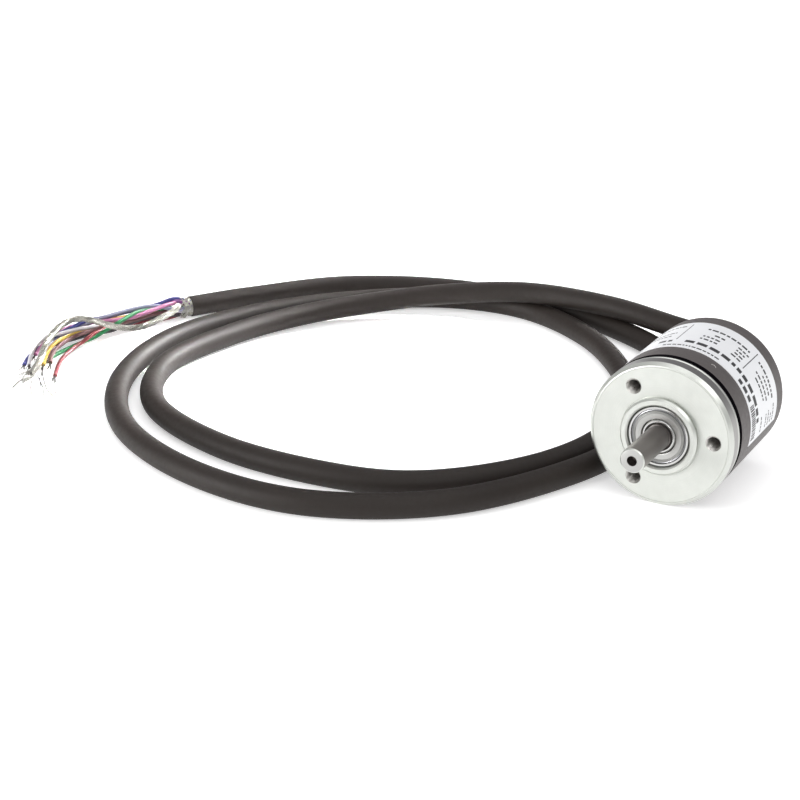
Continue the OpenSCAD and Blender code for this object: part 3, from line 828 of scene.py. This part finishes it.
SHIELD = [
    (5.6, 0.45), (5.32, 0.45), (5.28, 0.12), (5.24, 0.07), (5.15, 0.07), (5.12, 0.3), (5.06, 0.3),
    (5.03, 0.06), (4.93, 0.04), (4.9, 0.28), (4.84, 0.28), (4.8, 0.1), (3.8, 0.1), (3.68, 0.14),
    (3.62, 0.2), (3.6, 0.34), (3.66, 0.36), (3.9, 0.3), (4.6, 0.3), (4.8, 0.4), (5.2, 0.55), (5.6, 0.6),
]
SNAP_WIRE_AND_SHADE = [(5.36, 0.3), (5.4, 0.2), (5.5, 0.16), (5.6, 0.2), (5.64, 0.3), (5.6, 0.4), (5.4, 0.4)]
OUTER_RING = [
    (5.7, 0.14), (5.78, 0.0), (6.12, 0.0), (6.22, 0.12), (6.26, 0.4), (6.28, 1.0), (6.5, 1.2),
    (6.5, 3.7), (6.2, 4.0), (5.6, 4.0), (5.6, 2.73), (5.75, 2.45), (5.82, 2.0), (5.75, 1.55),
    (5.6, 1.27), (5.6, 0.7), (5.7, 0.6),
]
front_shield = lathe("front_shield_face", at_face(SHIELD), "shield_steel")
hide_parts("front_shields")
lathe("front_shield_back", at_face(SHIELD, rear=True), "shield_steel")

# Snap wire in the shield's groove in dark spring steel: partly a real wire, partly painted shade that
# darkens the groove
lathe("shield_snap_wire_and_shade", at_face(SNAP_WIRE_AND_SHADE), "spring_steel")
outer = lathe("front_outer_ring_ground", at_face(OUTER_RING), "bearing_steel")
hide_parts("front_outer_ring")

INNER_RING = [
    (2.5, 0.7), (2.72, 0.5), (2.92, 0.1), (2.98, 0.0), (3.24, 0.0), (3.34, 0.1), (3.5, 0.4),
    (3.5, 1.27), (3.34, 1.6), (3.28, 2.0), (3.34, 2.4), (3.5, 2.73), (3.5, 3.8), (3.3, 4.0),
    (2.78, 4.0), (2.5, 3.72),
]
inner = lathe("front_inner_ring_ground", at_face(INNER_RING), "bearing_steel", body=ROTOR)
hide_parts("front_inner_ring")


# ---- shaft ----

SHAFT_TIP = -14.5
SHAFT_PROFILE = [
    (0.0, -11.5), (0.5, -11.6), (0.92, -12.0), (0.94, -14.3), (1.02, SHAFT_TIP), (2.12, SHAFT_TIP),
    (2.26, -14.46), (2.5, -14.2), (2.5, -1.42), (2.3, -1.38), (2.3, -0.8), (2.5, -0.76), (2.5, 14.85),
    (2.2, 14.85), (2.2, 15.35), (2.5, 15.35), (2.5, 20.0), (2.3, 20.2), (0.0, 20.2),
]
shaft = lathe("shaft_ground", SHAFT_PROFILE, "ground_steel", body=ROTOR, merge=True)
shaft_chamfer, shaft_end = [add_finish(shaft, name) for name in ("rim_alloy", "shield_steel")]
for face in shaft.data.polygons:
    if face.center.y < (SHAFT_TIP + 0.4) * MM and math.hypot(face.center.x, face.center.z) > 1.0 * MM:
        face.material_index = shaft_end if face.normal.y < -0.9 else shaft_chamfer
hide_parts("shaft")


# ---- gland ----

SLEEVE_END = 41.5
GROOVE_PITCH = 1.5
GROOVE_TAPER = 0.15


def gland_profile():
    """Moulded bush with a grooved, tapering sleeve."""
    points = [(2.68, 29.4), (5.0, 29.4), (5.0, 30.1), (4.0, 30.1), (4.0, 31.62), (5.0, 31.62), (5.2, 31.8),
              (5.2, 33.3), (4.95, 33.6), (4.3, 33.8)]
    y, r = 34.4, 4.1
    while y < SLEEVE_END:
        points += [(r, y), (r - 0.02, y + 0.9), (r - 0.5, y + 1.0), (r - 0.52, y + 1.4)]
        y += GROOVE_PITCH
        r -= GROOVE_TAPER
    return points + [(3.35, y), (3.3, 42.7), (3.1, 43.0), (2.68, 43.0)]


gland = lathe("lead_bush", gland_profile(), "gland_rubber", segments=96)
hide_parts("cable_gland")


# ---- label marks ----

LABEL_R = HOUSING_R + 0.1
INK = 0.012


def curved_block(turn_a, turn_b, y_a, y_b, radius=LABEL_R, thick=INK):
    """Thin patch of ink on the label between two angles in degrees and two distances."""
    pieces = max(1, int(math.ceil((turn_b - turn_a) / 2.5)))
    low, high = radius - 0.01, radius + thick
    verts, faces = [], []
    for i in range(pieces + 1):
        a = math.radians(turn_a + (turn_b - turn_a) * i / pieces)
        for r, y in ((low, y_a), (high, y_a), (high, y_b), (low, y_b)):
            verts.append((r * math.cos(a), y, r * math.sin(a)))
    for i in range(pieces):
        p, q = 4 * i, 4 * i + 4
        faces += [(p + k, p + (k + 1) % 4, q + (k + 1) % 4, q + k) for k in range(4)]
    faces += [(3, 2, 1, 0), tuple(4 * pieces + k for k in range(4))]
    return verts, faces


def add_block(store, *where):
    """Adds one patch of ink to the stored points and faces."""
    verts, faces = curved_block(*where)
    base = len(store[0])
    store[0].extend(verts)
    store[1].extend([tuple(base + k for k in f) for f in faces])


# Rows of plain dashes: distance from the mounting face, height, first and last angle, weight
DASH_ROWS = [
    (11.9, 1.5, 22, 41, 1.0), (11.7, 0.7, 62, 108, 0.6), (14.3, 1.6, 2, 96, 0.85),
    (14.3, 1.4, 104, 118, 0.7), (17.2, 0.8, 50, 60, 0.6), (18.6, 0.8, 50, 60, 0.6),
    (20.0, 0.8, 50, 60, 0.6), (21.4, 0.8, 48, 60, 0.6), (17.4, 0.9, 72, 86, 0.6),
    (19.0, 0.9, 72, 86, 0.6), (20.8, 0.9, 70, 80, 0.6), (23.2, 0.9, 50, 88, 0.7),
    (18.6, 0.8, 14, 34, 0.6), (20.3, 0.8, 12, 38, 0.6), (22.0, 0.8, 14, 30, 0.6),
    (23.7, 0.9, 10, 40, 0.7), (16.8, 0.7, -9, 4, 0.5), (19.8, 0.6, -9, 2, 0.5), (21.3, 0.6, -9, 4, 0.5),
    (22.8, 0.6, -9, 0, 0.5), (24.3, 0.6, -9, 5, 0.5), (18.0, 0.7, 110, 126, 0.5),
    (20.0, 0.7, 108, 130, 0.5), (24.2, 0.7, 106, 132, 0.5),
]
PLAIN_LINES = [(44.6, 45.3, 16.2, 25.5), (101.6, 102.2, 15.2, 25.4)]
BAR_TURNS = (-9.0, 18.0)
BAR_FRONT, BAR_REAR = 11.0, 13.2


def build_marks():
    """Rows of dashes, two plain lines and a block of plain bars."""
    store = ([], [])
    for middle, height, first, last, weight in DASH_ROWS:
        unit = math.degrees(height / LABEL_R)
        half = 0.43 * height * (0.6 + 0.4 * weight)
        turn = first
        while turn < last:
            width = min(unit * loose(0.45, 1.5), last - turn)
            if width > 0.4 * unit:
                add_block(store, turn, turn + width, middle - half, middle + half)
            turn += width + 0.36 * unit
    for first, last, front, rear in PLAIN_LINES:
        add_block(store, first, last, front, rear)
    turn, last = BAR_TURNS
    while turn < last:
        width = loose(0.5, 1.4)
        add_block(store, turn, turn + width, BAR_FRONT, BAR_REAR)
        turn += width + loose(0.5, 1.0)
    return piece("label_marks", store[0], store[1], "mark_ink", slot="label_film")


build_marks()


ARC_TURN = 61.0
ARC_Y = 8.35
ARC_R = 0.55
ARC_STEPS = 8


def build_witness():
    """Small pale arc on the bare front band of the housing."""
    line = []
    for i in range(ARC_STEPS + 1):
        b = math.radians(200 + 140 * i / ARC_STEPS)
        a = math.radians(ARC_TURN + math.degrees(ARC_R * math.cos(b) / HOUSING_R))
        line.append((HOUSING_R * math.cos(a), ARC_Y - ARC_R * math.sin(b) - 0.3, HOUSING_R * math.sin(a)))
    return tubes("witness_mark", [(np.array(line), 0.07)], "pale_ink", sides=6, slot="dark_anodised")


build_witness()
